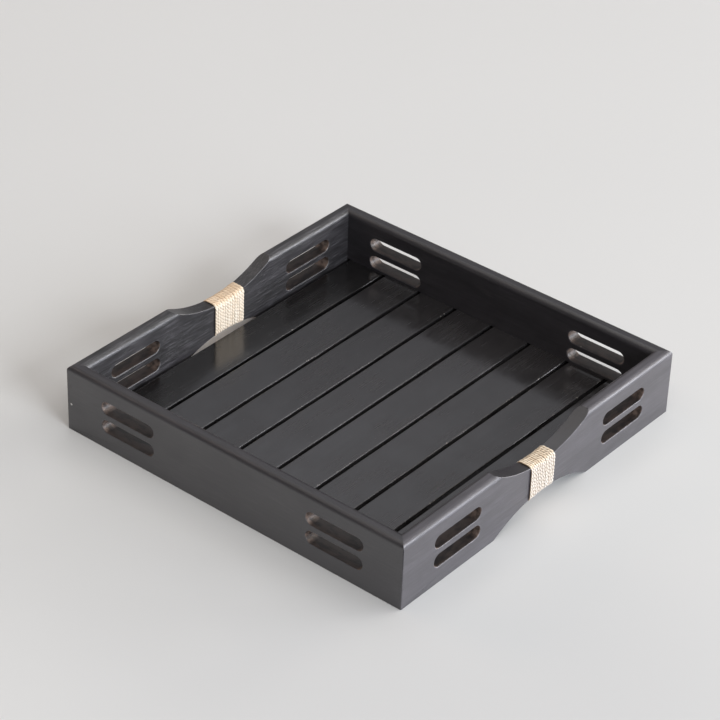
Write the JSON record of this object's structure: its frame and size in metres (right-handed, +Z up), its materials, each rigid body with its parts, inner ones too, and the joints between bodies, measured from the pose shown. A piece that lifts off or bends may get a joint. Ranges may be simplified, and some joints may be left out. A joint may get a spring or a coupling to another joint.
{
  "type": "tea tray",
  "caption": "Square black wooden tea tray with a spaced slat floor, slotted mitred walls and two waisted handles wound with cane.",
  "frame": {"origin": "centre of the footprint, on the surface the tray stands on", "axes": "+Z up, X across the two handle walls, Y along the slats, plain walls at -Y and +Y"},
  "size_m": [0.302, 0.3, 0.0525],
  "materials": {
    "wall_wood": "black stained, satin lacquer",
    "floor_wood": "black stained, satin lacquer",
    "batten_wood": "black stained, matte",
    "fastener_steel": "zinc plated",
    "cane": "natural cane strands, satin"
  },
  "bodies": {
    "root": {"front_wall": "wall_wood", "back_wall": "wall_wood", "left_handle_wall": "wall_wood", "right_handle_wall": "wall_wood", "slat_1": "floor_wood", "slat_2": "floor_wood", "slat_3": "floor_wood", "slat_4": "floor_wood", "slat_5": "floor_wood", "slat_6": "floor_wood", "slat_7": "floor_wood", "slat_8": "floor_wood", "front_batten": "batten_wood", "back_batten": "batten_wood", "slat_screws": "fastener_steel", "corner_brads": "fastener_steel", "left_binding": "cane", "right_binding": "cane"}
  },
  "joints": []
}
